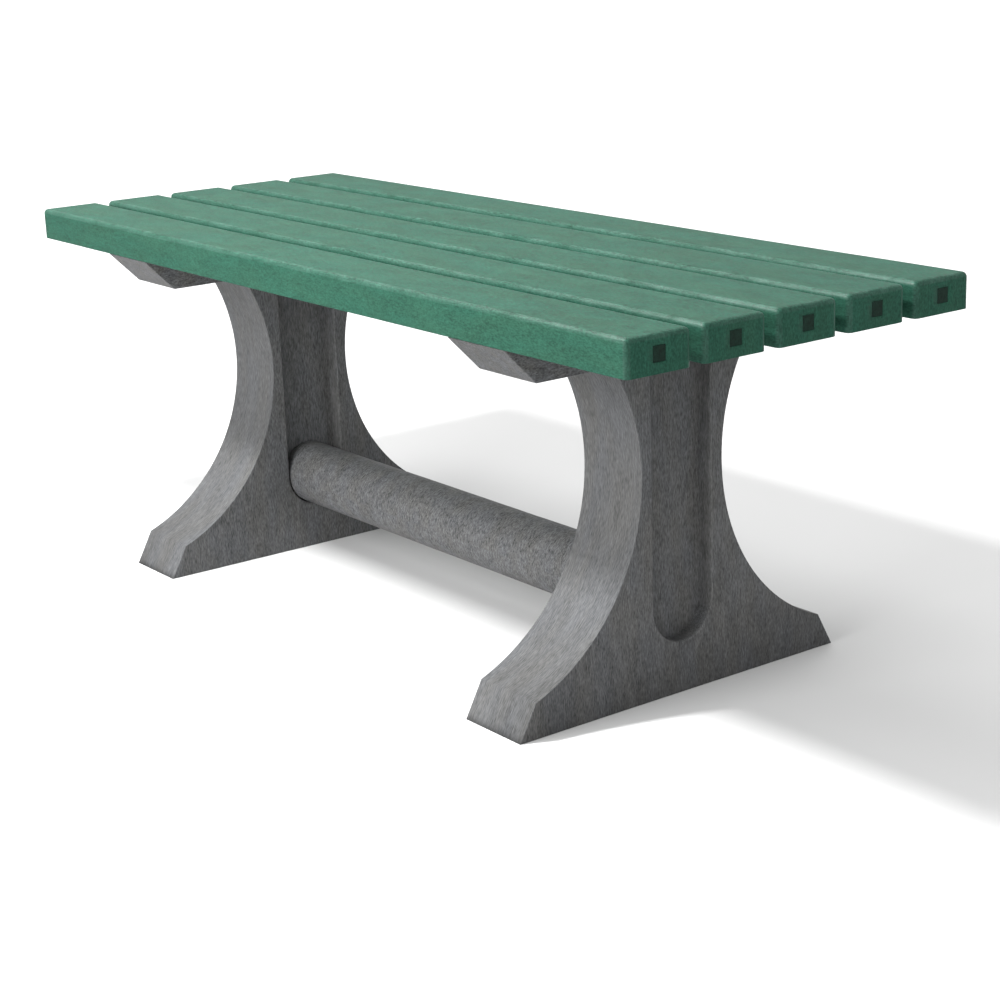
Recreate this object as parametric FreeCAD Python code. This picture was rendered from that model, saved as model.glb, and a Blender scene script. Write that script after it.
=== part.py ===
"""Backless park bench: five cored planks on two waisted pedestal legs, tied by a round bar.

Units are millimetres. +X runs along the planks, -Y is the front, +Z is up.
The origin is on the ground, under the middle of the seat.
"""
import FreeCAD, Part
import math
import os

# Seat planks: solid profiles with a square steel tube moulded into the middle.
LENGTH = 1200.0
PLANK_COUNT = 5
PLANK_WIDTH = 80.0
PLANK_THICKNESS = 39.0
PLANK_GAP = 15.6
PLANK_EDGE_RADIUS = 6.0
SEAT_UNDERSIDE = 415.0

# Steel core tube in each plank, and the plastic plugs that close its ends.
CORE_SIZE = 16.0
CORE_WALL = 1.5
PLUG_HEAD_LENGTH = 12.0
PLUG_SPIGOT_LENGTH = 18.0
PLUG_SPIGOT_PLAY = 0.1
PLUG_LEAD_IN = 2.0

# Crossbeam under the planks: as wide as the leg, with its ends cut back at 45 degrees.
BEAM_HEIGHT = 39.5

# Pedestal leg: waisted by one arc on each side, standing on sloped toes.
LEG_THICKNESS = 95.0
LEG_INSET = 184.5
LEG_WAIST_HALF_WIDTH = 56.7
LEG_ARC_RADIUS = 228.0
LEG_ARC_HEIGHT = 253.6
TOE_TIP_HALF_WIDTH = 204.4
TOE_BASE_HALF_WIDTH = 226.3

# U-shaped recess in both faces of each leg, open at the top.
RECESS_WIDTH = 82.0
RECESS_DEPTH = 19.5
RECESS_RIM_RADIUS = 3.0

# Round stretcher bar, seated in the bottom of the recesses between the legs.
BAR_DIAMETER = 80.0
BAR_HEIGHT = 100.0

# Blind studs that hold the bar to the leg webs.
STUD_DIAMETER = 16.0
STUD_IN_LEG = 40.0
STUD_IN_BAR = 70.0
STUD_END_CHAMFER = 1.5

# Coach screws from the crossbeam's top into the leg: hex head, washer, shank, pointed thread.
COACH_DIAMETER = 12.0
COACH_LENGTH = 160.0
COACH_HEAD_ACROSS_FLATS = 19.0
COACH_HEAD_HEIGHT = 8.0
COACH_SPACING = 44.0
WASHER_DIAMETER = 30.0
WASHER_THICKNESS = 3.0
COACH_POCKET_DIAMETER = 32.0
COACH_POCKET_DEPTH = 14.0

# Plank screws, driven up through the crossbeam: washer head with a star socket.
SCREW_DIAMETER = 8.0
SCREW_GRIP = 26.0
SCREW_HEAD_DIAMETER = 16.0
SCREW_HEAD_HEIGHT = 4.5
SCREW_SOCKET_DIAMETER = 6.0
SCREW_SOCKET_DEPTH = 3.0
SCREW_POCKET_DIAMETER = 18.0
SCREW_POCKET_DEPTH = 8.0
SCREW_OFFSET = 19.4
SCREW_PAIR_SPACING = 50.0

THREAD_POINT = 1.0
HOLE_PLAY = 0.5

# Worked out from the dimensions above.
PITCH = PLANK_WIDTH + PLANK_GAP
SEAT_WIDTH = PLANK_COUNT * PLANK_WIDTH + (PLANK_COUNT - 1) * PLANK_GAP
CORE_HEIGHT = SEAT_UNDERSIDE + PLANK_THICKNESS / 2
LEG_TOP = SEAT_UNDERSIDE - BEAM_HEIGHT
LEG_X = LENGTH / 2 - LEG_INSET - LEG_THICKNESS / 2
LEG_ARC_Y = LEG_WAIST_HALF_WIDTH + LEG_ARC_RADIUS
RECESS_X = LEG_THICKNESS / 2 - RECESS_DEPTH
BAR_LENGTH = 2 * (LEG_X - RECESS_X)

X_AXIS = FreeCAD.Vector(1, 0, 0)
Z_AXIS = FreeCAD.Vector(0, 0, 1)
SIDES = {"left": -1, "right": 1}


def point(x, y, z):
    return FreeCAD.Vector(x, y, z)


def block(low, high):
    """Box between two opposite corners."""
    size = high - low
    return Part.makeBox(size.x, size.y, size.z, low)


def rod(diameter, length, start, direction):
    return Part.makeCylinder(diameter / 2, length, start, direction)


def edges_where(shape, test):
    return [edge for edge in shape.Edges if test(edge)]


def plank_y(number):
    """Middle of a plank, counted from 1 at the front."""
    return (number - (PLANK_COUNT + 1) / 2) * PITCH


def square_prism(size, length, start):
    """Square bar along +X, with start at the middle of its near end."""
    low = start - point(0, size / 2, size / 2)
    return block(low, low + point(length, size, size))


def make_plank(number):
    y = plank_y(number)
    low = point(-LENGTH / 2, y - PLANK_WIDTH / 2, SEAT_UNDERSIDE)
    blank = block(low, low + point(LENGTH, PLANK_WIDTH, PLANK_THICKNESS))

    def is_rounded(edge):
        upright = abs(edge.tangentAt(edge.FirstParameter).z) > 0.5
        on_top = edge.CenterOfMass.z > SEAT_UNDERSIDE + PLANK_THICKNESS - 0.01
        return upright or on_top

    body = blank.makeFillet(PLANK_EDGE_RADIUS, edges_where(blank, is_rounded))
    channel = square_prism(CORE_SIZE, LENGTH, point(-LENGTH / 2, y, CORE_HEIGHT))
    body = body.cut(channel)
    for side in SIDES.values():
        for x, hole_y in plank_screw_places(number, side):
            body = body.cut(rod(SCREW_DIAMETER, SCREW_GRIP, point(x, hole_y, SEAT_UNDERSIDE), Z_AXIS))
    return body


def make_core(number):
    """Square tube that stops short of the plank's ends by the plug heads."""
    start = point(-LENGTH / 2 + PLUG_HEAD_LENGTH, plank_y(number), CORE_HEIGHT)
    length = LENGTH - 2 * PLUG_HEAD_LENGTH
    outside = square_prism(CORE_SIZE, length, start)
    inside = square_prism(CORE_SIZE - 2 * CORE_WALL, length, start)
    return outside.cut(inside)


def make_plug(number, side):
    """Square head flush with the plank's end, with a tapered spigot inside the core tube."""
    y = plank_y(number)
    spigot_size = CORE_SIZE - 2 * (CORE_WALL + PLUG_SPIGOT_PLAY)
    head = square_prism(CORE_SIZE, PLUG_HEAD_LENGTH, point(0, 0, 0))
    spigot = square_prism(spigot_size, PLUG_SPIGOT_LENGTH, point(PLUG_HEAD_LENGTH, 0, 0))
    tip = PLUG_HEAD_LENGTH + PLUG_SPIGOT_LENGTH
    tip_edges = edges_where(spigot, lambda edge: edge.CenterOfMass.x > tip - 0.01)
    spigot = spigot.makeChamfer(PLUG_LEAD_IN, tip_edges)
    plug = head.fuse(spigot).removeSplitter()
    if side > 0:
        plug = plug.mirror(point(0, 0, 0), X_AXIS)
    plug.translate(point(side * LENGTH / 2, y, CORE_HEIGHT))
    return plug


def make_beam(side):
    """Crossbeam with pockets for the coach screws on top and for the plank screws underneath."""
    x = side * LEG_X - LEG_THICKNESS / 2
    outline = [
        point(x, -SEAT_WIDTH / 2, SEAT_UNDERSIDE),
        point(x, SEAT_WIDTH / 2, SEAT_UNDERSIDE),
        point(x, SEAT_WIDTH / 2 - BEAM_HEIGHT, LEG_TOP),
        point(x, -SEAT_WIDTH / 2 + BEAM_HEIGHT, LEG_TOP),
    ]
    face = Part.Face(Part.makePolygon(outline + outline[:1]))
    beam = face.extrude(point(LEG_THICKNESS, 0, 0))
    for hole_x, y in coach_screw_places(side):
        pocket_floor = point(hole_x, y, SEAT_UNDERSIDE - COACH_POCKET_DEPTH)
        beam = beam.cut(rod(COACH_POCKET_DIAMETER, COACH_POCKET_DEPTH, pocket_floor, Z_AXIS))
        beam = beam.cut(rod(COACH_DIAMETER + 2 * HOLE_PLAY, BEAM_HEIGHT, point(hole_x, y, LEG_TOP), Z_AXIS))
    for number in range(1, PLANK_COUNT + 1):
        for hole_x, y in plank_screw_places(number, side):
            start = point(hole_x, y, LEG_TOP)
            beam = beam.cut(rod(SCREW_POCKET_DIAMETER, SCREW_POCKET_DEPTH, start, Z_AXIS))
            beam = beam.cut(rod(SCREW_DIAMETER + 2 * HOLE_PLAY, BEAM_HEIGHT, start, Z_AXIS))
    return beam


def leg_outline():
    """Closed wire of the leg's side view, in the plane x = 0."""
    top_half = LEG_ARC_Y - math.sqrt(LEG_ARC_RADIUS ** 2 - (LEG_TOP - LEG_ARC_HEIGHT) ** 2)
    toe_z = LEG_ARC_HEIGHT - math.sqrt(LEG_ARC_RADIUS ** 2 - (LEG_ARC_Y - TOE_TIP_HALF_WIDTH) ** 2)
    front_base = point(0, -TOE_BASE_HALF_WIDTH, 0)
    front_tip = point(0, -TOE_TIP_HALF_WIDTH, toe_z)
    front_waist = point(0, -LEG_WAIST_HALF_WIDTH, LEG_ARC_HEIGHT)
    front_top = point(0, -top_half, LEG_TOP)
    back_base, back_tip, back_waist, back_top = (
        point(0, -p.y, p.z) for p in (front_base, front_tip, front_waist, front_top)
    )
    edges = [
        Part.LineSegment(front_base, front_tip).toShape(),
        Part.Arc(front_tip, front_waist, front_top).toShape(),
        Part.LineSegment(front_top, back_top).toShape(),
        Part.Arc(back_top, back_waist, back_tip).toShape(),
        Part.LineSegment(back_tip, back_base).toShape(),
        Part.LineSegment(back_base, front_base).toShape(),
    ]
    return Part.Wire(edges)


def make_recess():
    """Tool shape for one U-shaped recess: its floor is at x = 0 and it opens towards +X."""
    straight = block(
        point(0, -RECESS_WIDTH / 2, BAR_HEIGHT),
        point(RECESS_DEPTH, RECESS_WIDTH / 2, LEG_TOP),
    )
    rounded_end = rod(RECESS_WIDTH, RECESS_DEPTH, point(0, 0, BAR_HEIGHT), X_AXIS)
    return straight.fuse(rounded_end).removeSplitter()


def round_recess_rims(leg):
    """Radius where each recess meets the leg's face. The rim runs down, round and up again."""
    face_x = LEG_THICKNESS / 2

    def on_rim(edge):
        box = edge.BoundBox
        flat_on_face = abs(abs(edge.CenterOfMass.x) - face_x) < 0.01 and box.XLength < 0.01
        reach = max(abs(box.YMin), abs(box.YMax))
        return flat_on_face and reach < RECESS_WIDTH / 2 + 0.01 and box.ZLength > RECESS_WIDTH / 4

    return leg.makeFillet(RECESS_RIM_RADIUS, edges_where(leg, on_rim))


def make_leg(side):
    leg = Part.Face(leg_outline()).extrude(point(LEG_THICKNESS, 0, 0))
    leg.translate(point(-LEG_THICKNESS / 2, 0, 0))
    recess = make_recess()
    recess.translate(point(RECESS_X, 0, 0))
    leg = leg.cut(recess).cut(recess.mirror(point(0, 0, 0), X_AXIS))
    leg = round_recess_rims(leg)
    leg.translate(point(side * LEG_X, 0, 0))
    for x, y in coach_screw_places(side):
        leg = leg.cut(coach_shank(x, y))
    return leg.cut(make_stud(side))


def make_bar():
    bar = rod(BAR_DIAMETER, BAR_LENGTH, point(-BAR_LENGTH / 2, 0, BAR_HEIGHT), X_AXIS)
    for side in SIDES.values():
        bar = bar.cut(make_stud(side))
    return bar


def make_stud(side):
    """Stud along X, half in the leg's web and half in the bar's end."""
    length = STUD_IN_LEG + STUD_IN_BAR
    stud = rod(STUD_DIAMETER, length, point(-STUD_IN_BAR, 0, 0), X_AXIS)
    stud = stud.makeChamfer(STUD_END_CHAMFER, edges_where(stud, lambda edge: edge.BoundBox.XLength < 0.01))
    if side < 0:
        stud = stud.mirror(point(0, 0, 0), X_AXIS)
    stud.translate(point(side * BAR_LENGTH / 2, 0, BAR_HEIGHT))
    return stud


def coach_screw_places(side):
    return [(side * LEG_X, sign * COACH_SPACING / 2) for sign in (-1, 1)]


def coach_shank(x, y):
    """Shank and thread below the washer, ending in a blunt cone."""
    seat = SEAT_UNDERSIDE - COACH_POCKET_DEPTH
    cone = COACH_DIAMETER
    shank = rod(COACH_DIAMETER, COACH_LENGTH - cone, point(x, y, seat - COACH_LENGTH + cone), Z_AXIS)
    tip = Part.makeCone(THREAD_POINT, COACH_DIAMETER / 2, cone, point(x, y, seat - COACH_LENGTH), Z_AXIS)
    return shank.fuse(tip)


def make_coach_screw(x, y):
    """Hex coach screw, its head resting on the washer."""
    head_base = SEAT_UNDERSIDE - COACH_POCKET_DEPTH + WASHER_THICKNESS
    corner = COACH_HEAD_ACROSS_FLATS / math.sqrt(3)
    corners = []
    for step in range(7):
        angle = math.radians(60 * step)
        corners.append(point(x + corner * math.cos(angle), y + corner * math.sin(angle), head_base))
    head = Part.Face(Part.makePolygon(corners)).extrude(point(0, 0, COACH_HEAD_HEIGHT))
    neck = rod(COACH_DIAMETER, WASHER_THICKNESS, point(x, y, head_base - WASHER_THICKNESS), Z_AXIS)
    return head.fuse(neck).fuse(coach_shank(x, y)).removeSplitter()


def make_washer(x, y):
    base = point(x, y, SEAT_UNDERSIDE - COACH_POCKET_DEPTH)
    disc = rod(WASHER_DIAMETER, WASHER_THICKNESS, base, Z_AXIS)
    return disc.cut(rod(COACH_DIAMETER + 2 * HOLE_PLAY, WASHER_THICKNESS, base, Z_AXIS))


def plank_screw_places(number, side):
    """Two screws per plank and beam, clear of the core tube and reachable past the leg.

    The middle plank's screws go up through the leg's two recesses. The others stand
    beside the leg's top, on the flat part of the beam.
    """
    middle = (PLANK_COUNT + 1) // 2
    if number == middle:
        reach = LEG_THICKNESS / 2 - RECESS_DEPTH / 2
        return [(side * LEG_X + sign * reach, sign * SCREW_OFFSET) for sign in (-1, 1)]
    outward = 1 if number > middle else -1
    at_seat_edge = number in (1, PLANK_COUNT)
    y = plank_y(number) + outward * (-SCREW_OFFSET if at_seat_edge else SCREW_OFFSET)
    return [(side * LEG_X + sign * SCREW_PAIR_SPACING / 2, y) for sign in (-1, 1)]


def make_plank_screw(x, y):
    """Screw with its head in the beam's pocket and its thread in the plank."""
    head_top = LEG_TOP + SCREW_POCKET_DEPTH
    head_base = head_top - SCREW_HEAD_HEIGHT
    head = rod(SCREW_HEAD_DIAMETER, SCREW_HEAD_HEIGHT, point(x, y, head_base), Z_AXIS)
    lower_rim = edges_where(head, lambda edge: edge.CenterOfMass.z < head_base + 0.01)
    head = head.makeFillet(SCREW_HEAD_HEIGHT / 2, lower_rim)
    socket = rod(SCREW_SOCKET_DIAMETER, SCREW_SOCKET_DEPTH, point(x, y, head_base), Z_AXIS)
    shank_length = SEAT_UNDERSIDE + SCREW_GRIP - head_top
    shank = rod(SCREW_DIAMETER, shank_length, point(x, y, head_top), Z_AXIS)
    return head.cut(socket).fuse(shank).removeSplitter()


def group(shapes):
    return Part.makeCompound(shapes)


def save(name, shape):
    for solid in shape.Solids:
        if not solid.isValid():
            raise ValueError(name + " is not a valid solid")
    shape.exportStep("parts/" + name + ".step")
    print(name, len(shape.Solids), "solid(s)", round(shape.Volume / 1000), "cm3")


def main():
    os.makedirs("parts", exist_ok=True)
    for number in range(1, PLANK_COUNT + 1):
        save(f"seat_plank_{number}", make_plank(number))
        save(f"plank_core_tube_{number}", make_core(number))
    save("stretcher_bar", make_bar())
    for name, side in SIDES.items():
        save(f"leg_{name}", make_leg(side))
        save(f"crossbeam_{name}", make_beam(side))
        save(f"bar_stud_{name}", make_stud(side))
        coach_places = coach_screw_places(side)
        save(f"coach_screws_{name}", group([make_coach_screw(x, y) for x, y in coach_places]))
        save(f"coach_washers_{name}", group([make_washer(x, y) for x, y in coach_places]))
        for number in range(1, PLANK_COUNT + 1):
            save(f"end_plug_{name}_{number}", make_plug(number, side))
            screws = [make_plank_screw(x, y) for x, y in plank_screw_places(number, side)]
            save(f"plank_screws_{name}_{number}", group(screws))


main()
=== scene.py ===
"""Looks of the backless bench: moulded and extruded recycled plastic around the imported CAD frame."""

import math

import bmesh
import bpy
from mathutils import Matrix, Vector, noise


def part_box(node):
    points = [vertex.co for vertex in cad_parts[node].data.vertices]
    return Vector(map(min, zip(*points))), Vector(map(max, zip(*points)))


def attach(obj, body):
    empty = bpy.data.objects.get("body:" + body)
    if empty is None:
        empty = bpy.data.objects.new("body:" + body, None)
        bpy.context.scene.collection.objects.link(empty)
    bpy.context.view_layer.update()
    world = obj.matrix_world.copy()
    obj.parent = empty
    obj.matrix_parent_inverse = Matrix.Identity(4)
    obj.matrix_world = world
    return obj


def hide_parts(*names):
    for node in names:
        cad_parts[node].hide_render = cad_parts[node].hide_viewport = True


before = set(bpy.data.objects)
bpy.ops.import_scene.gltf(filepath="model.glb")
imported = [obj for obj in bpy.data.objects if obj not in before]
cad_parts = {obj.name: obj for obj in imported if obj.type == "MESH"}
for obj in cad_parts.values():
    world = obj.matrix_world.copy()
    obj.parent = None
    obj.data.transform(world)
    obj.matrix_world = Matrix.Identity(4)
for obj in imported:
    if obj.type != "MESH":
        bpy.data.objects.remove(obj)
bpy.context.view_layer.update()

BODY = "root"
SIDES = ("left", "right")
PLANKS = range(1, 6)

# Sizes that the frame's boxes don't give, in metres.
PLANK_RADIUS = 0.006
PLANK_UNDER_RADIUS = 0.0008
PLUG_EDGE = 0.0006
PLUG_SET_BACK = 0.0002
LEG_WAIST = 0.0567              # half the leg's width where it is narrowest
LEG_ARC_RADIUS = 0.228
LEG_ARC_HEIGHT = 0.2536         # height of the waist, and of the side arcs' centres
LEG_TOE_TIP = 0.2044            # half the leg's width where the side arcs end above the toes
LEG_EDGE = 0.0012
RECESS_HALF = 0.041
RECESS_DEPTH = 0.0195
RECESS_RIM = 0.003
BEAM_EDGE = 0.0012
COACH_POCKET = (0.016, 0.014)   # radius, depth
SCREW_POCKET = (0.009, 0.008)   # radius, depth
SCREW_HEAD_RADIUS = 0.008
POCKET_OVERSHOOT = 0.01         # how far a cutter stands out of what it cuts
BAR_EDGE = 0.0015

# How finely curves, rounded edges and surfaces are divided.
PLANK_SEGMENTS = 6
UNDER_SEGMENTS = 2
EDGE_SEGMENTS = 3
RIM_SEGMENTS = 6
ARC_STEPS = 44
ROUND_STEPS = 20
RING_STEPS = 96
POCKET_STEPS = 32
CELL = 0.008
PLUG_CELL = 0.004

# The uneven skin: how deep each kind of piece sinks, in metres, and the seed of its pattern.
# Planks and plugs count on from their seed by the plank's number, legs and crossbeams by their side.
PLANK_SKIN = (0.0002, 0)
PLUG_SKIN = (0.0002, 20)
LEG_SKIN = (0.00035, 31)
BEAM_SKIN = (0.0003, 41)
BAR_SKIN = (0.0004, 51)
SKIN_WAVES = ((0.16, 0.6), (0.05, 0.4))     # wavelength in metres, share of the depth
SKIN_TOP = 0.5                              # noise level from which the full size is kept
SEED_STEP = (7.31, 3.17, 5.73)              # how far one seed lies from the next in the noise

# How faces and edges are told apart.
SAME_PLACE = 1e-5               # coordinates nearer than this are the same
CUT_TOLERANCE = 1e-6            # corners nearer than this to a cut are left on it
FACE_LIMIT = 0.7                # a face looks along an axis when its normal has more than this there
SHARP_TURN = 1.0                # radians: two faces that turn by more meet in a sharp edge
FACET_TOLERANCE = 0.35          # share by which a facet of a rounded edge may turn more or less
FLAT_WEIGHT = 90                # how much large faces keep flat shading beside rounded edges

# How strongly fibres and patches show on the legs' edge strips and the planks' sides and ends,
# against the legs' faces and the planks' tops, and how the strips' fibres are drawn out.
STRIP_MARKS = 0.9
STRIP_STRETCH = 0.75            # below 1, they are longer than on the faces
PLANK_SIDE_MARKS = 0.65

# Painted shade at the foot of the outer faces, in metres: how high it reaches, and how far from the
# middle it starts and is full.
FOOT_SHADE_HEIGHT = 0.09
FOOT_SHADE_ACROSS = (0.32, 0.40)
FOOT_SHADE_RAGGED = 0.012

# Spans of the noises' values, which mostly lie around 0.5, and what they are turned into.
NOISE_SPAN = (0.3, 0.7)
HUE_SPAN = (0.35, 0.65)
RUB_AND_HIGHLIGHT_SPAN = (0.3, 0.65)
RUB_AND_HIGHLIGHT_SHARE = (0.2, 0.9)              # how much of a worn edge is rubbed and lightened by the painted highlight, from patch to patch
GLOSS_SPAN = (0.25, 0.75)
GLOSS_SPREAD = 0.08
FLECK_SHARES = (0.45, 0.8, 0.8)     # a fleck's size against a fibre's: along, across, through
HUE_SHARE = 1.9                     # a hue's size against a patch's
PATCH_RELIEF = 0.6                  # how much the patches stand out against the fibres
RUB_SMOOTHING = -0.5                # roughness that rubbing takes away, as a share of the polish
BUMP_STRENGTH = 0.4
METAL_PATCH = (0.02, 0.02, 0.02)
METAL_LINE_SHADE = (0.85, 1.05)
METAL_PATCH_SHADE = (-0.12, 0.08)
METAL_DULLING = (-0.06, 0.1)
METAL_RELIEF = 0.0001


# ---------------------------------------------------------------- mesh work

def new_object(name, bm):
    """Turns a bmesh into an object in the scene, and frees the bmesh."""
    mesh = bpy.data.meshes.new(name)
    bm.to_mesh(mesh)
    bm.free()
    piece = bpy.data.objects.new(name, mesh)
    bpy.context.collection.objects.link(piece)
    return piece


def apply_modifiers(piece):
    """Puts the mesh that a piece's modifiers give in the place of its own."""
    graph = bpy.context.evaluated_depsgraph_get()
    mesh = bpy.data.meshes.new_from_object(piece.evaluated_get(graph), depsgraph=graph)
    piece.modifiers.clear()
    piece.data = mesh


def prism(bm, outline, x_low, x_high):
    """Solid with the same (y, z) outline at both ends of its x range."""
    ends = [[bm.verts.new((x, y, z)) for y, z in outline] for x in (x_low, x_high)]
    bm.faces.new(reversed(ends[0]))
    bm.faces.new(ends[1])
    for i in range(len(outline)):
        j = (i + 1) % len(outline)
        bm.faces.new((ends[0][i], ends[0][j], ends[1][j], ends[1][i]))
    bmesh.ops.recalc_face_normals(bm, faces=bm.faces)


def box_outline(low, high):
    """The (y, z) corners of a box, from its lowest and highest corners."""
    return [(low.y, low.z), (high.y, low.z), (high.y, high.z), (low.y, high.z)]


def arc(centre, radius, start, stop, steps):
    """Points on an arc in the (y, z) plane, both ends included. Angles in radians."""
    points = []
    for step in range(steps + 1):
        angle = start + (stop - start) * step / steps
        points.append((centre[0] + radius * math.cos(angle), centre[1] + radius * math.sin(angle)))
    return points


def bevel(bm, edges, radius, segments):
    """Rounds edges, all by less than the radius if a face beside one of them is too narrow for it."""
    bmesh.ops.bevel(
        bm, geom=edges, offset=radius, segments=segments, profile=0.5, affect="EDGES", clamp_overlap=True
    )


def level_at(edge, z):
    """True for an edge that lies at the height z."""
    return all(abs(vert.co.z - z) < SAME_PLACE for vert in edge.verts)


def subtract(piece, cutters):
    """Cuts the cutters out of a piece, and removes them."""
    for cutter in cutters:
        modifier = piece.modifiers.new("cut", "BOOLEAN")
        modifier.operation = "DIFFERENCE"
        modifier.solver = "EXACT"
        modifier.object = cutter
    apply_modifiers(piece)
    for cutter in cutters:
        bpy.data.objects.remove(cutter, do_unlink=True)


def slice_into_cells(bm, cell):
    """Cuts every face along planes a cell apart on each axis, so that surfaces can undulate."""
    for axis in range(3):
        values = [vert.co[axis] for vert in bm.verts]
        low, high = min(values), max(values)
        count = max(1, round((high - low) / cell))
        normal = Vector((0, 0, 0))
        normal[axis] = 1
        for step in range(1, count):
            cut_at = Vector((0, 0, 0))
            cut_at[axis] = low + (high - low) * step / count
            geometry = bm.verts[:] + bm.edges[:] + bm.faces[:]
            bmesh.ops.bisect_plane(
                bm, geom=geometry, dist=CUT_TOLERANCE, plane_co=cut_at, plane_no=normal
            )
    large = [face for face in bm.faces if len(face.verts) > 4]
    bmesh.ops.triangulate(bm, faces=large)


def undulate(bm, skin, count=0):
    """Sinks each vertex by a little, never outwards: the uneven skin of thick moulded plastic."""
    depth, first_seed = skin
    shift = Vector([(first_seed + count) * step for step in SEED_STEP])
    bm.normal_update()
    moves = []
    for vert in bm.verts:
        level = sum(share * noise.noise(vert.co / length + shift) for length, share in SKIN_WAVES)
        moves.append(vert.normal * depth * min(0.0, level - SKIN_TOP))
    for vert, move in zip(bm.verts, moves):
        vert.co += move


def slice_and_undulate(piece, skin, count):
    """Gives the uneven skin to a piece whose mesh came out of modifiers."""
    bm = bmesh.new()
    bm.from_mesh(piece.data)
    slice_into_cells(bm, CELL)
    undulate(bm, skin, count)
    bm.to_mesh(piece.data)
    bm.free()


def full_marks(normal):
    """Fibres and patches show equally on every face."""
    return 1.0


def finish_surface(piece, grain, segments, marks=full_marks):
    """Smooth shading with crisp flats, and the attributes that the materials read.

    segments is the number of facets that the piece's outer edges are rounded with.
    """
    for polygon in piece.data.polygons:
        polygon.use_smooth = True
    weighted = piece.modifiers.new("weighted", "WEIGHTED_NORMAL")
    weighted.weight = FLAT_WEIGHT
    weighted.keep_sharp = True
    apply_modifiers(piece)
    store_grain(piece.data, grain)
    store_marks(piece.data, marks)
    store_edges_and_hollows(piece.data, segments)


def store_grain(mesh, grain):
    """Corner attribute: where a point lies along the grain, across it and through it, in metres."""
    layer = mesh.attributes.new("grain", "FLOAT_VECTOR", "CORNER")
    values = []
    for polygon in mesh.polygons:
        for loop in polygon.loop_indices:
            point = mesh.vertices[mesh.loops[loop].vertex_index].co
            values.extend(grain(point, polygon.normal, polygon.center))
    layer.data.foreach_set("vector", values)


def store_marks(mesh, marks):
    """Corner attribute: how strongly fibres, patches and hues show on each face."""
    layer = mesh.attributes.new("marks", "FLOAT", "CORNER")
    values = []
    for polygon in mesh.polygons:
        values.extend([marks(polygon.normal)] * polygon.loop_total)
    layer.data.foreach_set("value", values)


def store_edges_and_hollows(mesh, segments):
    """Point attribute: 1 inside the rounded outer edges, -1 in sharp inner corners, 0 elsewhere. It
    places the rubbed edges with their painted highlight, and the painted shade in the corners.
    """
    bm = bmesh.new()
    bm.from_mesh(mesh)
    layer = mesh.attributes.new("edges_and_hollows", "FLOAT", "POINT")
    facet_turn = math.radians(90 / segments)
    values = []
    for vert in bm.verts:
        turns = [edge.calc_face_angle_signed(0.0) for edge in vert.link_edges]
        rounded = any(abs(turn - facet_turn) < FACET_TOLERANCE * facet_turn for turn in turns)
        hollow = min(turns, default=0.0) < -SHARP_TURN
        values.append(-1.0 if hollow else 1.0 if rounded else 0.0)
    bm.free()
    layer.data.foreach_set("value", values)


def place(piece, material, slot, *nodes):
    """Gives a piece its material and its body, and hides the CAD nodes that it stands for. The slot is
    not used.
    """
    piece.data.materials.clear()
    piece.data.materials.append(material)
    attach(piece, BODY)
    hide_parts(*nodes)


# ---------------------------------------------------------------- materials

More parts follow.
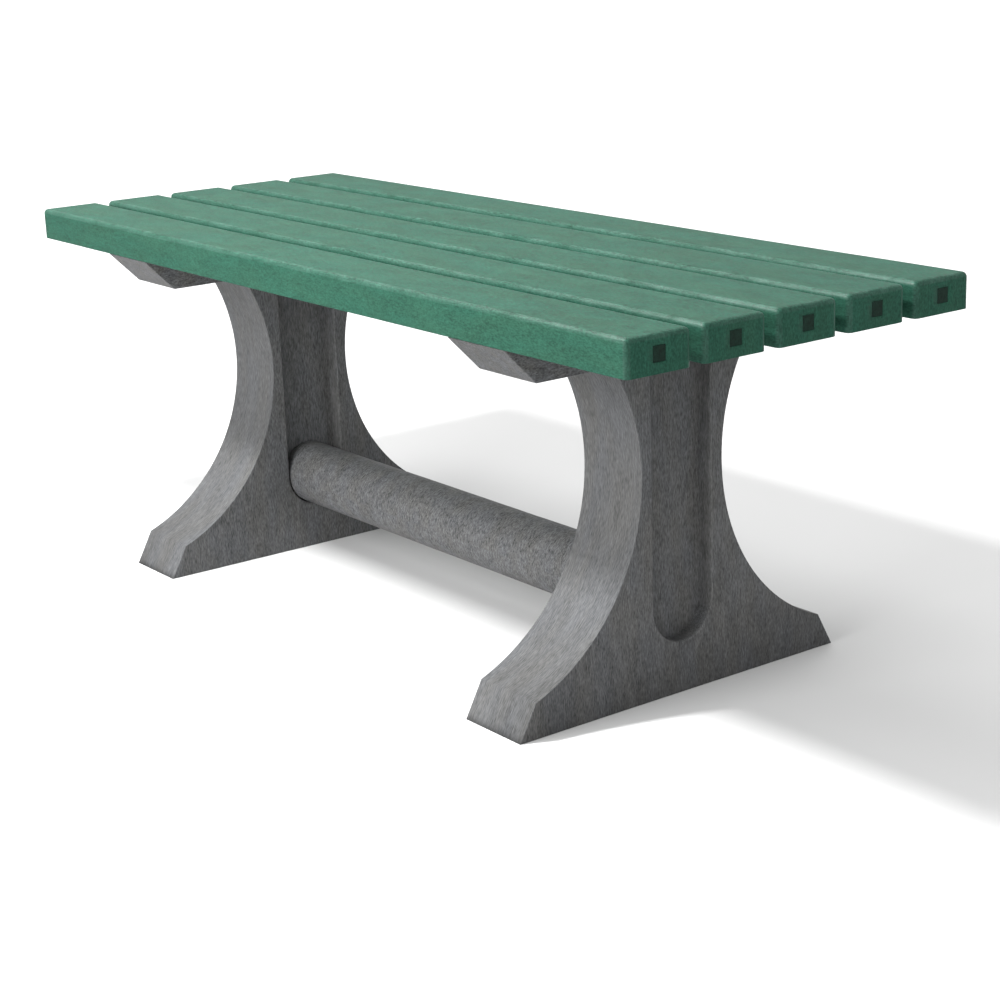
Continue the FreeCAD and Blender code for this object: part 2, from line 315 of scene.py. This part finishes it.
class Nodes:
    """A short way to write a node tree: each call adds a node and returns its output."""

    def __init__(self, name):
        self.material = bpy.data.materials.new(name)
        self.material.use_nodes = True
        self.tree = self.material.node_tree
        self.shader = self.tree.nodes["Principled BSDF"]

    def link(self, value, socket):
        """Joins another node's output to a socket, or sets the socket to a number or colour."""
        if isinstance(value, bpy.types.NodeSocket):
            self.tree.links.new(value, socket)
        else:
            socket.default_value = value

    def attribute(self, name, output):
        """One of the attributes that finish_surface stores on a mesh."""
        node = self.tree.nodes.new("ShaderNodeAttribute")
        node.attribute_name = name
        return node.outputs[output]

    def point(self):
        """A surface point in the object's own frame, in metres."""
        return self.tree.nodes.new("ShaderNodeTexCoord").outputs["Object"]

    def stretch(self, vector, sizes):
        """Divides a vector by the size of one grain along each axis."""
        node = self.tree.nodes.new("ShaderNodeMapping")
        node.vector_type = "TEXTURE"
        self.link(vector, node.inputs["Vector"])
        node.inputs["Scale"].default_value = sizes
        return node.outputs["Vector"]

    def noise(self, vector, detail, roughness=0.5, distortion=0.0):
        """Soft noise with one grain to each unit of the vector."""
        node = self.tree.nodes.new("ShaderNodeTexNoise")
        self.link(vector, node.inputs["Vector"])
        node.inputs["Scale"].default_value = 1.0
        node.inputs["Detail"].default_value = detail
        node.inputs["Roughness"].default_value = roughness
        node.inputs["Distortion"].default_value = distortion
        return node.outputs["Fac"]

    def math(self, operation, a, b=0.0, c=0.0):
        """One of Blender's maths operations on up to three numbers or outputs."""
        node = self.tree.nodes.new("ShaderNodeMath")
        node.operation = operation
        for value, socket in zip((a, b, c), node.inputs):
            self.link(value, socket)
        return node.outputs["Value"]

    def spread(self, value, span, result):
        """Maps the span (low, high) of a value to the result's (low, high), and holds it inside."""
        node = self.tree.nodes.new("ShaderNodeMapRange")
        self.link(value, node.inputs["Value"])
        for name, number in zip(("From Min", "From Max", "To Min", "To Max"), (*span, *result)):
            node.inputs[name].default_value = number
        return node.outputs["Result"]

    def mix(self, factor, a, b):
        """Colour a where the factor is 0, and colour b where it is 1."""
        node = self.tree.nodes.new("ShaderNodeMix")
        node.data_type = "RGBA"
        self.link(factor, node.inputs["Factor"])
        # The sockets for colours have the names of those for numbers and vectors, so they go by place.
        for value, socket in ((a, node.inputs[6]), (b, node.inputs[7])):
            self.link(value, socket)
        return node.outputs[2]

    def scale_color(self, color, factor):
        """Makes a colour lighter or darker by a factor."""
        node = self.tree.nodes.new("ShaderNodeVectorMath")
        node.operation = "SCALE"
        self.link(color, node.inputs[0])
        self.link(factor, node.inputs["Scale"])
        return node.outputs["Vector"]

    def painted_foot_shade(self, patches, share):
        """Painted shade: 1 where unshaded, down to 1 - share at the foot of the bench's outer faces."""
        split = self.tree.nodes.new("ShaderNodeSeparateXYZ")
        self.link(self.point(), split.inputs["Vector"])
        ragged = self.spread(patches, NOISE_SPAN, (-FOOT_SHADE_RAGGED, FOOT_SHADE_RAGGED))
        height = self.math("ADD", split.outputs["Z"], ragged)
        low = self.spread(height, (0.0, FOOT_SHADE_HEIGHT), (1.0, 0.0))
        outward = self.spread(self.math("ABSOLUTE", split.outputs["X"]), FOOT_SHADE_ACROSS, (0.0, share))
        return self.math("SUBTRACT", 1.0, self.math("MULTIPLY", low, outward))

    def bump(self, height, distance):
        """Surface normal of a relief whose heights are the distance, in metres, times the height."""
        node = self.tree.nodes.new("ShaderNodeBump")
        node.inputs["Distance"].default_value = distance
        node.inputs["Strength"].default_value = BUMP_STRENGTH
        self.link(height, node.inputs["Height"])
        return node.outputs["Normal"]


def recycled_plastic(name, body, warm, worn_and_highlit, fibre, patch, contrast, roughness, specular, relief,
                     foot_shade=0.0, corner_shade=0.0, polish=0.0):
    """Melted mixed plastic: short fibres drawn out along the grain, flecks, soft patches, rubbed edges
    with a painted highlight, and painted shade.

    body, warm and worn_and_highlit are colours, the last for rubbed edges, lighter as wear and as
    painted highlight;
    fibre and patch are sizes of one grain in metres (along, across, through); contrast is how much
    fibres, flecks and patches lighten or darken; relief is the depth of the fibres in metres; foot_shade
    is how much painted shade darkens the foot of the piece's outer faces, and corner_shade how much
    painted shade darkens its inner corners;
    polish is how much glossier the rubbed edges are.
    """
    n = Nodes(name)
    grain = n.attribute("grain", "Vector")
    edges_and_hollows = n.attribute("edges_and_hollows", "Fac")
    edge = n.math("MAXIMUM", edges_and_hollows, 0.0)
    # Mask of the sharp inner corners, where the painted shade goes.
    corner = n.math("MINIMUM", edges_and_hollows, 0.0)
    marks = n.attribute("marks", "Fac")
    fibres = n.noise(n.stretch(grain, fibre), detail=2.0, roughness=0.55, distortion=0.3)
    fleck = [size * share for size, share in zip(fibre, FLECK_SHARES)]
    flecks = n.noise(n.stretch(grain, fleck), detail=1.0)
    patches = n.noise(n.stretch(grain, patch), detail=3.0, roughness=0.6, distortion=0.8)
    hues = n.noise(n.stretch(grain, [size * HUE_SHARE for size in patch]), detail=1.5)

    change = 0.0
    for layer, share in zip((fibres, flecks, patches), contrast):
        change = n.math("ADD", change, n.spread(layer, NOISE_SPAN, (-share, share)))
    light = n.math("MULTIPLY_ADD", change, marks, 1.0)
    # Painted shade: sharp inner corners, such as the recess's, are darkened.
    light = n.math("MULTIPLY", light, n.math("MULTIPLY_ADD", corner, corner_shade, 1.0))
    # Painted shade: the outer faces darken towards the floor, with a ragged top.
    if foot_shade:
        light = n.math("MULTIPLY", light, n.painted_foot_shade(patches, foot_shade))
    warmth = n.math("MULTIPLY", n.spread(hues, HUE_SPAN, (0.0, 1.0)), marks)
    tint = n.mix(warmth, (*body, 1), (*warm, 1))
    # Rubbed edges take the lighter worn colour: partly wear, partly painted highlight.
    rubbed_and_highlit = n.math("MULTIPLY", edge, n.spread(patches, RUB_AND_HIGHLIGHT_SPAN, RUB_AND_HIGHLIGHT_SHARE))
    tint = n.mix(rubbed_and_highlit, tint, (*worn_and_highlit, 1))
    n.link(n.scale_color(tint, light), n.shader.inputs["Base Color"])

    rough = n.spread(flecks, GLOSS_SPAN, (roughness - GLOSS_SPREAD, roughness + GLOSS_SPREAD))
    rough = n.math("MULTIPLY_ADD", rubbed_and_highlit, RUB_SMOOTHING * polish, rough)
    n.link(rough, n.shader.inputs["Roughness"])
    n.link(n.math("MULTIPLY_ADD", rubbed_and_highlit, polish, specular), n.shader.inputs["Specular IOR Level"])
    height = n.math("ADD", fibres, n.math("MULTIPLY", patches, PATCH_RELIEF))
    n.link(n.bump(height, relief), n.shader.inputs["Normal"])
    return n.material


def metal(name, color, roughness, grain_size):
    """Plain steel with a fine drawn or turned grain and uneven dulling."""
    n = Nodes(name)
    point = n.point()
    lines = n.noise(n.stretch(point, grain_size), detail=3.0)
    patches = n.noise(n.stretch(point, METAL_PATCH), detail=2.0)
    line_shade = n.spread(lines, NOISE_SPAN, METAL_LINE_SHADE)
    patch_shade = n.spread(patches, NOISE_SPAN, METAL_PATCH_SHADE)
    n.link(n.scale_color(color, n.math("ADD", line_shade, patch_shade)), n.shader.inputs["Base Color"])
    rough = n.spread(patches, NOISE_SPAN, [roughness + change for change in METAL_DULLING])
    n.link(rough, n.shader.inputs["Roughness"])
    n.shader.inputs["Metallic"].default_value = 1.0
    n.link(n.bump(lines, METAL_RELIEF), n.shader.inputs["Normal"])
    return n.material


plank_green = recycled_plastic(
    "plank_green_plastic",
    body=(0.0150, 0.0575, 0.0390), warm=(0.0170, 0.0550, 0.0360), worn_and_highlit=(0.0185, 0.0585, 0.0415),
    fibre=(0.0065, 0.0024, 0.0017), patch=(0.045, 0.020, 0.012), contrast=(0.22, 0.34, 0.16),
    roughness=0.48, specular=0.035, relief=0.0002, polish=0.13,
)
plug_green = recycled_plastic(
    "end_plug_plastic",
    body=(0.0062, 0.0180, 0.0125), warm=(0.0066, 0.0160, 0.0115), worn_and_highlit=(0.009, 0.023, 0.017),
    fibre=(0.0035, 0.0014, 0.0014), patch=(0.006, 0.005, 0.005), contrast=(0.25, 0.2, 0.15),
    roughness=0.5, specular=0.05, relief=0.0002,
)
# The legs get painted shade at the foot of their outer faces and in their inner corners.
leg_grey = recycled_plastic(
    "leg_grey_plastic",
    body=(0.0830, 0.0848, 0.0880), warm=(0.0842, 0.0838, 0.0825), worn_and_highlit=(0.090, 0.092, 0.095),
    fibre=(0.011, 0.0015, 0.0015), patch=(0.045, 0.014, 0.014), contrast=(0.25, 0.30, 0.14),
    roughness=0.58, specular=0.08, relief=0.0003, foot_shade=0.28, corner_shade=0.25,
)
beam_grey = recycled_plastic(
    "beam_grey_plastic",
    body=(0.083, 0.085, 0.089), warm=(0.082, 0.081, 0.079), worn_and_highlit=(0.092, 0.093, 0.095),
    fibre=(0.005, 0.0017, 0.0017), patch=(0.012, 0.006, 0.006), contrast=(0.30, 0.28, 0.20),
    roughness=0.58, specular=0.08, relief=0.0003,
)
# Lighter than the legs' and beams' grey: painted light for the light that the seat keeps off the bar.
bar_grey = recycled_plastic(
    "bar_grey_plastic",
    body=(0.094, 0.096, 0.100), warm=(0.093, 0.0925, 0.091), worn_and_highlit=(0.099, 0.101, 0.103),
    fibre=(0.0052, 0.0021, 0.0021), patch=(0.020, 0.014, 0.014), contrast=(0.44, 0.26, 0.22),
    roughness=0.58, specular=0.08, relief=0.0004,
)
core_steel = metal("core_steel", (0.36, 0.36, 0.37), 0.45, (0.03, 0.0008, 0.0008))
fixing_steel = metal("fixing_steel", (0.55, 0.55, 0.56), 0.32, (0.0006, 0.0006, 0.004))


# ---------------------------------------------------------------- planks and plugs

def plank_grain(point, normal, centre):
    """Fibres run along the plank, and up its end faces."""
    if abs(normal.x) > FACE_LIMIT:
        return point.z, point.y, point.x
    return point.x, point.y, point.z


def plank_marks(normal):
    """A plank's sides and ends are plainer than its top."""
    return 1.0 if normal.z > FACE_LIMIT else PLANK_SIDE_MARKS


def make_plank(number):
    """Extruded plank: rounded top and end corners, crisp underside, square channel right through."""
    node = f"seat_plank_{number}"
    low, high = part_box(node)
    hole_low, hole_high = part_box(f"plank_core_tube_{number}")
    bm = bmesh.new()
    prism(bm, box_outline(low, high), low.x, high.x)
    upper = [
        edge for edge in bm.edges
        if level_at(edge, high.z) or abs(edge.verts[0].co.z - edge.verts[1].co.z) > SAME_PLACE
    ]
    bevel(bm, upper, PLANK_RADIUS, PLANK_SEGMENTS)
    under = [edge for edge in bm.edges if level_at(edge, low.z) and len(edge.link_faces) == 2]
    under = [edge for edge in under if edge.calc_face_angle(0.0) > SHARP_TURN]
    bevel(bm, under, PLANK_UNDER_RADIUS, UNDER_SEGMENTS)
    piece = new_object(f"plank_{number}", bm)

    channel = bmesh.new()
    outline = box_outline(hole_low, hole_high)
    prism(channel, outline, low.x - POCKET_OVERSHOOT, high.x + POCKET_OVERSHOOT)
    subtract(piece, [new_object("channel", channel)])
    slice_and_undulate(piece, PLANK_SKIN, number)
    finish_surface(piece, plank_grain, PLANK_SEGMENTS, plank_marks)
    place(piece, plank_green, "plank_green", node)


def make_plug(side, number):
    """Square plug in the plank's end, its face eased at the edges and set a hair back."""
    node = f"end_plug_{side}_{number}"
    low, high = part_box(node)
    outer = low.x if side == "left" else high.x
    inward = 1 if side == "left" else -1
    near, far = sorted((outer + inward * PLUG_SET_BACK, outer + inward * (high.x - low.x)))
    bm = bmesh.new()
    prism(bm, box_outline(low, high), near, far)
    bevel(bm, bm.edges[:], PLUG_EDGE, EDGE_SEGMENTS)
    slice_into_cells(bm, PLUG_CELL)
    undulate(bm, PLUG_SKIN, number)
    piece = new_object(f"plug_{side}_{number}", bm)
    finish_surface(piece, plank_grain, EDGE_SEGMENTS)
    place(piece, plug_green, "plug_dark_green", node)


# ---------------------------------------------------------------- legs

def leg_side(low, high):
    """Back half of the leg's outline, from the floor up to the top, as (y, z) points.

    The arc's centre lies behind the leg, level with the waist.
    """
    centre = (LEG_WAIST + LEG_ARC_RADIUS, LEG_ARC_HEIGHT)
    toe = -math.pi + math.acos((centre[0] - LEG_TOE_TIP) / LEG_ARC_RADIUS)
    top = math.pi - math.asin((high.z - LEG_ARC_HEIGHT) / LEG_ARC_RADIUS)
    points = arc(centre, LEG_ARC_RADIUS, toe, top - 2 * math.pi, ARC_STEPS)
    return [(high.y, low.z)] + points


def recess_outline(high):
    """U-shaped outline of the recess, open at the top and round about the stretcher bar's axis."""
    bar_low, bar_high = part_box("stretcher_bar")
    bar_z = (bar_low.z + bar_high.z) / 2
    outline = [(RECESS_HALF, high.z)] + arc((0, bar_z), RECESS_HALF, 0, -math.pi, ROUND_STEPS)
    return outline + [(-RECESS_HALF, high.z)]


def leg_shell(bm, low, high, back, notch):
    """The leg's faces: two recessed faces, the waisted edge strips, the top and the base."""
    front = [(-y, z) for y, z in back]
    faces_x = (low.x, high.x)
    floors_x = (low.x + RECESS_DEPTH, high.x - RECESS_DEPTH)

    def row(points, x):
        return [bm.verts.new((x, y, z)) for y, z in points]

    # Each list holds a row of corners for the left face and one for the right face.
    backs = [row(back, x) for x in faces_x]
    fronts = [row(front, x) for x in faces_x]
    rims = [row(notch, x) for x in faces_x]
    floors = [row(notch, x) for x in floors_x]
    for i in range(2):
        bm.faces.new(backs[i] + rims[i] + list(reversed(fronts[i])))
        bm.faces.new(floors[i])
        for a, b, c, d in zip(rims[i], rims[i][1:], floors[i][1:], floors[i]):
            bm.faces.new((a, b, c, d))
    for strip in (backs, fronts):
        for a, b, c, d in zip(strip[0], strip[0][1:], strip[1][1:], strip[1]):
            bm.faces.new((a, b, c, d))
    bm.faces.new((backs[0][0], backs[1][0], fronts[1][0], fronts[0][0]))
    top = [backs[0][-1], backs[1][-1], rims[1][0], floors[1][0], floors[1][-1], rims[1][-1]]
    top += [fronts[1][-1], fronts[0][-1], rims[0][-1], floors[0][-1], floors[0][0], rims[0][0]]
    bm.faces.new(top)
    bmesh.ops.recalc_face_normals(bm, faces=bm.faces)


def round_leg(bm, low, high):
    """Rounds the recess's rim, then eases both faces' other edges, but not those at the top."""

    def flat_on_face(edge):
        first, second = (vert.co.x for vert in edge.verts)
        on_face = min(abs(first - low.x), abs(first - high.x)) < SAME_PLACE
        return on_face and abs(first - second) < SAME_PLACE

    def within_recess(edge):
        return all(abs(vert.co.y) < RECESS_HALF + SAME_PLACE for vert in edge.verts)

    def face_edges():
        return [edge for edge in bm.edges if flat_on_face(edge) and not level_at(edge, high.z)]

    bevel(bm, [edge for edge in face_edges() if within_recess(edge)], RECESS_RIM, RIM_SEGMENTS)
    bevel(bm, [edge for edge in face_edges() if not within_recess(edge)], LEG_EDGE, EDGE_SEGMENTS)


def leg_grain(tip):
    """Grain of a leg whose side arcs end above the toes at tip, a (y, z) point."""
    centre_y = LEG_WAIST + LEG_ARC_RADIUS
    tip_angle = math.atan2(tip[1] - LEG_ARC_HEIGHT, tip[0] - centre_y)

    def grain(point, normal, centre):
        """Fibres run up the flat faces and recess walls, and along the arc on the edge strips."""
        if abs(normal.x) > FACE_LIMIT or abs(point.y) < RECESS_HALF + RECESS_RIM:
            return point.z, point.y, point.x
        if centre.z < tip[1]:
            return STRIP_STRETCH * point.z, point.x, 0.0
        angle = math.atan2(point.z - LEG_ARC_HEIGHT, abs(point.y) - centre_y)
        if angle > 0:
            angle -= 2 * math.pi
        return STRIP_STRETCH * (tip[1] + LEG_ARC_RADIUS * (tip_angle - angle)), point.x, 0.0

    return grain


def leg_marks(normal):
    """The edge strips are drawn smoother than the flat faces."""
    return 1.0 if abs(normal.x) > FACE_LIMIT else STRIP_MARKS


def make_leg(side):
    """Pedestal leg: waisted outline, sloped toes, and a U-shaped recess in both faces."""
    node = f"leg_{side}"
    low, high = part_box(node)
    back = leg_side(low, high)
    bm = bmesh.new()
    leg_shell(bm, low, high, back, recess_outline(high))
    round_leg(bm, low, high)
    slice_into_cells(bm, CELL)
    undulate(bm, LEG_SKIN, SIDES.index(side))
    piece = new_object(f"pedestal_{side}", bm)
    finish_surface(piece, leg_grain(back[1]), EDGE_SEGMENTS, leg_marks)
    place(piece, leg_grey, "leg_grey", node)


# ---------------------------------------------------------------- crossbeams

def cylinder_cutter(x, y, z_low, z_high, radius):
    """Upright cylinder that a round pocket is cut with."""
    bm = bmesh.new()
    middle = Matrix.Translation((x, y, (z_low + z_high) / 2))
    bmesh.ops.create_cone(
        bm, cap_ends=True, segments=POCKET_STEPS, radius1=radius, radius2=radius,
        depth=z_high - z_low, matrix=middle
    )
    return new_object("pocket", bm)


def screw_pocket_cutters(side, bottom):
    """Pockets in the crossbeam's underside, at opposite corners of each pair of screws' box."""
    radius, depth = SCREW_POCKET
    cutters = []
    for number in PLANKS:
        low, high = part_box(f"plank_screws_{side}_{number}")
        middle_x, middle_y = (low.x + high.x) / 2, (low.y + high.y) / 2
        aside_x = (high.x - low.x) / 2 - SCREW_HEAD_RADIUS
        aside_y = (high.y - low.y) / 2 - SCREW_HEAD_RADIUS
        for sign in (-1, 1):
            x, y = middle_x + sign * aside_x, middle_y + sign * aside_y
            cutters.append(cylinder_cutter(x, y, bottom - POCKET_OVERSHOOT, bottom + depth, radius))
    return cutters


def coach_pocket_cutters(side, top):
    """Pockets in the crossbeam's top for the two coach screws' washers and heads."""
    low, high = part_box(f"coach_washers_{side}")
    x = (low.x + high.x) / 2
    washer_radius = (high.x - low.x) / 2
    radius, depth = COACH_POCKET
    return [
        cylinder_cutter(x, y, top - depth, top + POCKET_OVERSHOOT, radius)
        for y in (low.y + washer_radius, high.y - washer_radius)
    ]


def beam_grain(point, normal, centre):
    """Fibres run along the crossbeam, from front to back."""
    return point.y, point.z, point.x


def make_beam(side):
    """Crossbeam with 45 degree ends, screw pockets underneath and coach screw pockets on top."""
    node = f"crossbeam_{side}"
    low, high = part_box(node)
    cut_back = high.z - low.z
    outline = [(low.y, high.z), (low.y + cut_back, low.z), (high.y - cut_back, low.z), (high.y, high.z)]
    bm = bmesh.new()
    prism(bm, outline, low.x, high.x)
    bevel(bm, bm.edges[:], BEAM_EDGE, EDGE_SEGMENTS)
    piece = new_object(f"beam_{side}", bm)
    subtract(piece, screw_pocket_cutters(side, low.z) + coach_pocket_cutters(side, high.z))
    slice_and_undulate(piece, BEAM_SKIN, SIDES.index(side))
    finish_surface(piece, beam_grain, EDGE_SEGMENTS)
    place(piece, beam_grey, "beam_grey", node)


# ---------------------------------------------------------------- stretcher bar and metal

def make_bar():
    """Turned round bar with eased ends."""
    low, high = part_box("stretcher_bar")
    centre = (low + high) / 2
    radius = (high.z - low.z) / 2
    count = round((high.x - low.x) / CELL)
    inner = (high.x - low.x) - 2 * BAR_EDGE
    stations = [(low.x, radius - BAR_EDGE)]
    stations += [(low.x + BAR_EDGE + inner * i / count, radius) for i in range(count)]
    stations += [(high.x - BAR_EDGE, radius), (high.x, radius - BAR_EDGE)]
    bm = bmesh.new()
    rings = []
    for x, ring_radius in stations:
        ring = []
        for step in range(RING_STEPS):
            angle = 2 * math.pi * step / RING_STEPS
            y, z = centre.y + ring_radius * math.cos(angle), centre.z + ring_radius * math.sin(angle)
            ring.append(bm.verts.new((x, y, z)))
        rings.append(ring)
    for a, b in zip(rings, rings[1:]):
        for i in range(RING_STEPS):
            j = (i + 1) % RING_STEPS
            bm.faces.new((a[i], b[i], b[j], a[j]))
    bm.faces.new(rings[0])
    bm.faces.new(reversed(rings[-1]))
    bmesh.ops.recalc_face_normals(bm, faces=bm.faces)
    undulate(bm, BAR_SKIN)
    piece = new_object("bar", bm)

    def grain(point, normal, middle):
        """Fibres run round the bar: the angle is kept within half a turn of the face's middle."""
        start = math.atan2(middle.z - centre.z, middle.y - centre.y)
        angle = math.atan2(point.z - centre.z, point.y - centre.y)
        if angle - start > math.pi:
            angle -= 2 * math.pi
        if start - angle > math.pi:
            angle += 2 * math.pi
        return radius * angle, point.x, 0.0

    finish_surface(piece, grain, EDGE_SEGMENTS)
    place(piece, bar_grey, "bar_grey", "stretcher_bar")


def dress_hidden_metal():
    """The sealed metal keeps its CAD shape and gets steel materials."""
    for name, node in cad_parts.items():
        if name.startswith("plank_core_tube"):
            material = core_steel
        elif name.startswith(("bar_stud", "coach_", "plank_screws")):
            material = fixing_steel
        else:
            continue
        for slot in node.material_slots:
            slot.material = material


# ---------------------------------------------------------------- studio

# Places, sizes and distances in metres, powers in watts.
FLOOR_RADIUS = 14.0
FLOOR_STEPS = 96
FLOOR_SHADE = 0.5               # near the bench, so that little light comes back up from it
FLOOR_FADE = (1.3, 3.5)         # distances between which the floor turns from that shade to white
FLOOR_ROUGHNESS = 0.9
KEY_PLACE = (-0.215, -0.77, 1.467)
KEY_SIZE = 0.085
KEY_POWER = 108.0
PANEL_AIM = (0.0, 0.0, 0.2)
FILL_PLACE = (0.1, -1.8, 1.1)
FILL_SIZE = (1.0, 1.0)
FILL_POWER = 27.0
SIDE_PLACE = (0.80, -2.4, 1.3)
SIDE_SIZE = (0.6, 0.8)
SIDE_POWER = 18.0
TOP_PLACE = (-1.0, 0.0, 2.4)
TOP_SIZE = (1.4, 1.2)
TOP_POWER = 41.0
WORLD_STRENGTH = 1.17
CAMERA_PLACE = (2.042, -1.450, 0.855)
CAMERA_YAW = 53.39              # degrees, as pitch and roll are
CAMERA_PITCH = -16.21
CAMERA_ROLL = -1.99
CAMERA_LENS = 76.73             # millimetres, as the sensor's width is
CAMERA_SENSOR = 36.0


def make_floor():
    """Large round floor, pale grey around the bench and white further out."""
    bm = bmesh.new()
    bmesh.ops.create_circle(bm, cap_ends=True, segments=FLOOR_STEPS, radius=FLOOR_RADIUS)
    floor = new_object("floor", bm)
    n = Nodes("floor_white")
    length = n.tree.nodes.new("ShaderNodeVectorMath")
    length.operation = "LENGTH"
    n.link(n.point(), length.inputs[0])
    shade = n.spread(length.outputs["Value"], FLOOR_FADE, (FLOOR_SHADE, 1.0))
    n.link(n.scale_color((1.0, 1.0, 1.0), shade), n.shader.inputs["Base Color"])
    n.shader.inputs["Roughness"].default_value = FLOOR_ROUGHNESS
    n.shader.inputs["Specular IOR Level"].default_value = 0.0
    floor.data.materials.append(n.material)


def make_world():
    """Even white light from all around."""
    world = bpy.data.worlds.new("studio")
    world.use_nodes = True
    background = world.node_tree.nodes["Background"]
    background.inputs["Color"].default_value = (1, 1, 1, 1)
    background.inputs["Strength"].default_value = WORLD_STRENGTH
    bpy.context.scene.world = world


def make_key():
    """Small lamp above the front, which fades slowly with distance and casts the clear shadows."""
    lamp = bpy.data.lights.new("key", "POINT")
    lamp.energy = KEY_POWER
    lamp.shadow_soft_size = KEY_SIZE
    lamp.use_nodes = True
    falloff = lamp.node_tree.nodes.new("ShaderNodeLightFalloff")
    emission = lamp.node_tree.nodes["Emission"]
    lamp.node_tree.links.new(falloff.outputs["Linear"], emission.inputs["Strength"])
    falloff.inputs["Strength"].default_value = 1.0
    key = bpy.data.objects.new("key", lamp)
    key.location = KEY_PLACE
    bpy.context.collection.objects.link(key)


def make_panel(name, place_at, size, power):
    """Rectangular soft light that faces the bench."""
    panel = bpy.data.lights.new(name, "AREA")
    panel.shape = "RECTANGLE"
    panel.size, panel.size_y = size
    panel.energy = power
    lamp = bpy.data.objects.new(name, panel)
    turn = (Vector(PANEL_AIM) - Vector(place_at)).to_track_quat("-Z", "Y").to_matrix().to_4x4()
    lamp.matrix_world = Matrix.Translation(place_at) @ turn
    bpy.context.collection.objects.link(lamp)


def make_camera():
    """Camera turned by its yaw from +Y towards -X, then by its pitch and its roll."""
    yaw, pitch, roll = (math.radians(angle) for angle in (CAMERA_YAW, CAMERA_PITCH, CAMERA_ROLL))
    ahead = Vector((-math.sin(yaw) * math.cos(pitch), math.cos(yaw) * math.cos(pitch), math.sin(pitch)))
    level = ahead.cross(Vector((0, 0, 1))).normalized()
    upright = level.cross(ahead)
    right = level * math.cos(roll) + upright * math.sin(roll)
    up = upright * math.cos(roll) - level * math.sin(roll)
    turn = Matrix((right, up, -ahead)).transposed().to_4x4()
    data = bpy.data.cameras.new("camera")
    data.lens = CAMERA_LENS
    data.sensor_width = CAMERA_SENSOR
    camera = bpy.data.objects.new("camera", data)
    camera.matrix_world = Matrix.Translation(CAMERA_PLACE) @ turn
    bpy.context.collection.objects.link(camera)
    bpy.context.scene.camera = camera


make_floor()
make_world()
make_key()
make_panel("fill", FILL_PLACE, FILL_SIZE, FILL_POWER)
make_panel("side", SIDE_PLACE, SIDE_SIZE, SIDE_POWER)
make_panel("top", TOP_PLACE, TOP_SIZE, TOP_POWER)
make_camera()
for plank in PLANKS:
    make_plank(plank)
    for end in SIDES:
        make_plug(end, plank)
for end in SIDES:
    make_leg(end)
    make_beam(end)
make_bar()
dress_hidden_metal()
bpy.context.scene.view_settings.view_transform = "Standard"
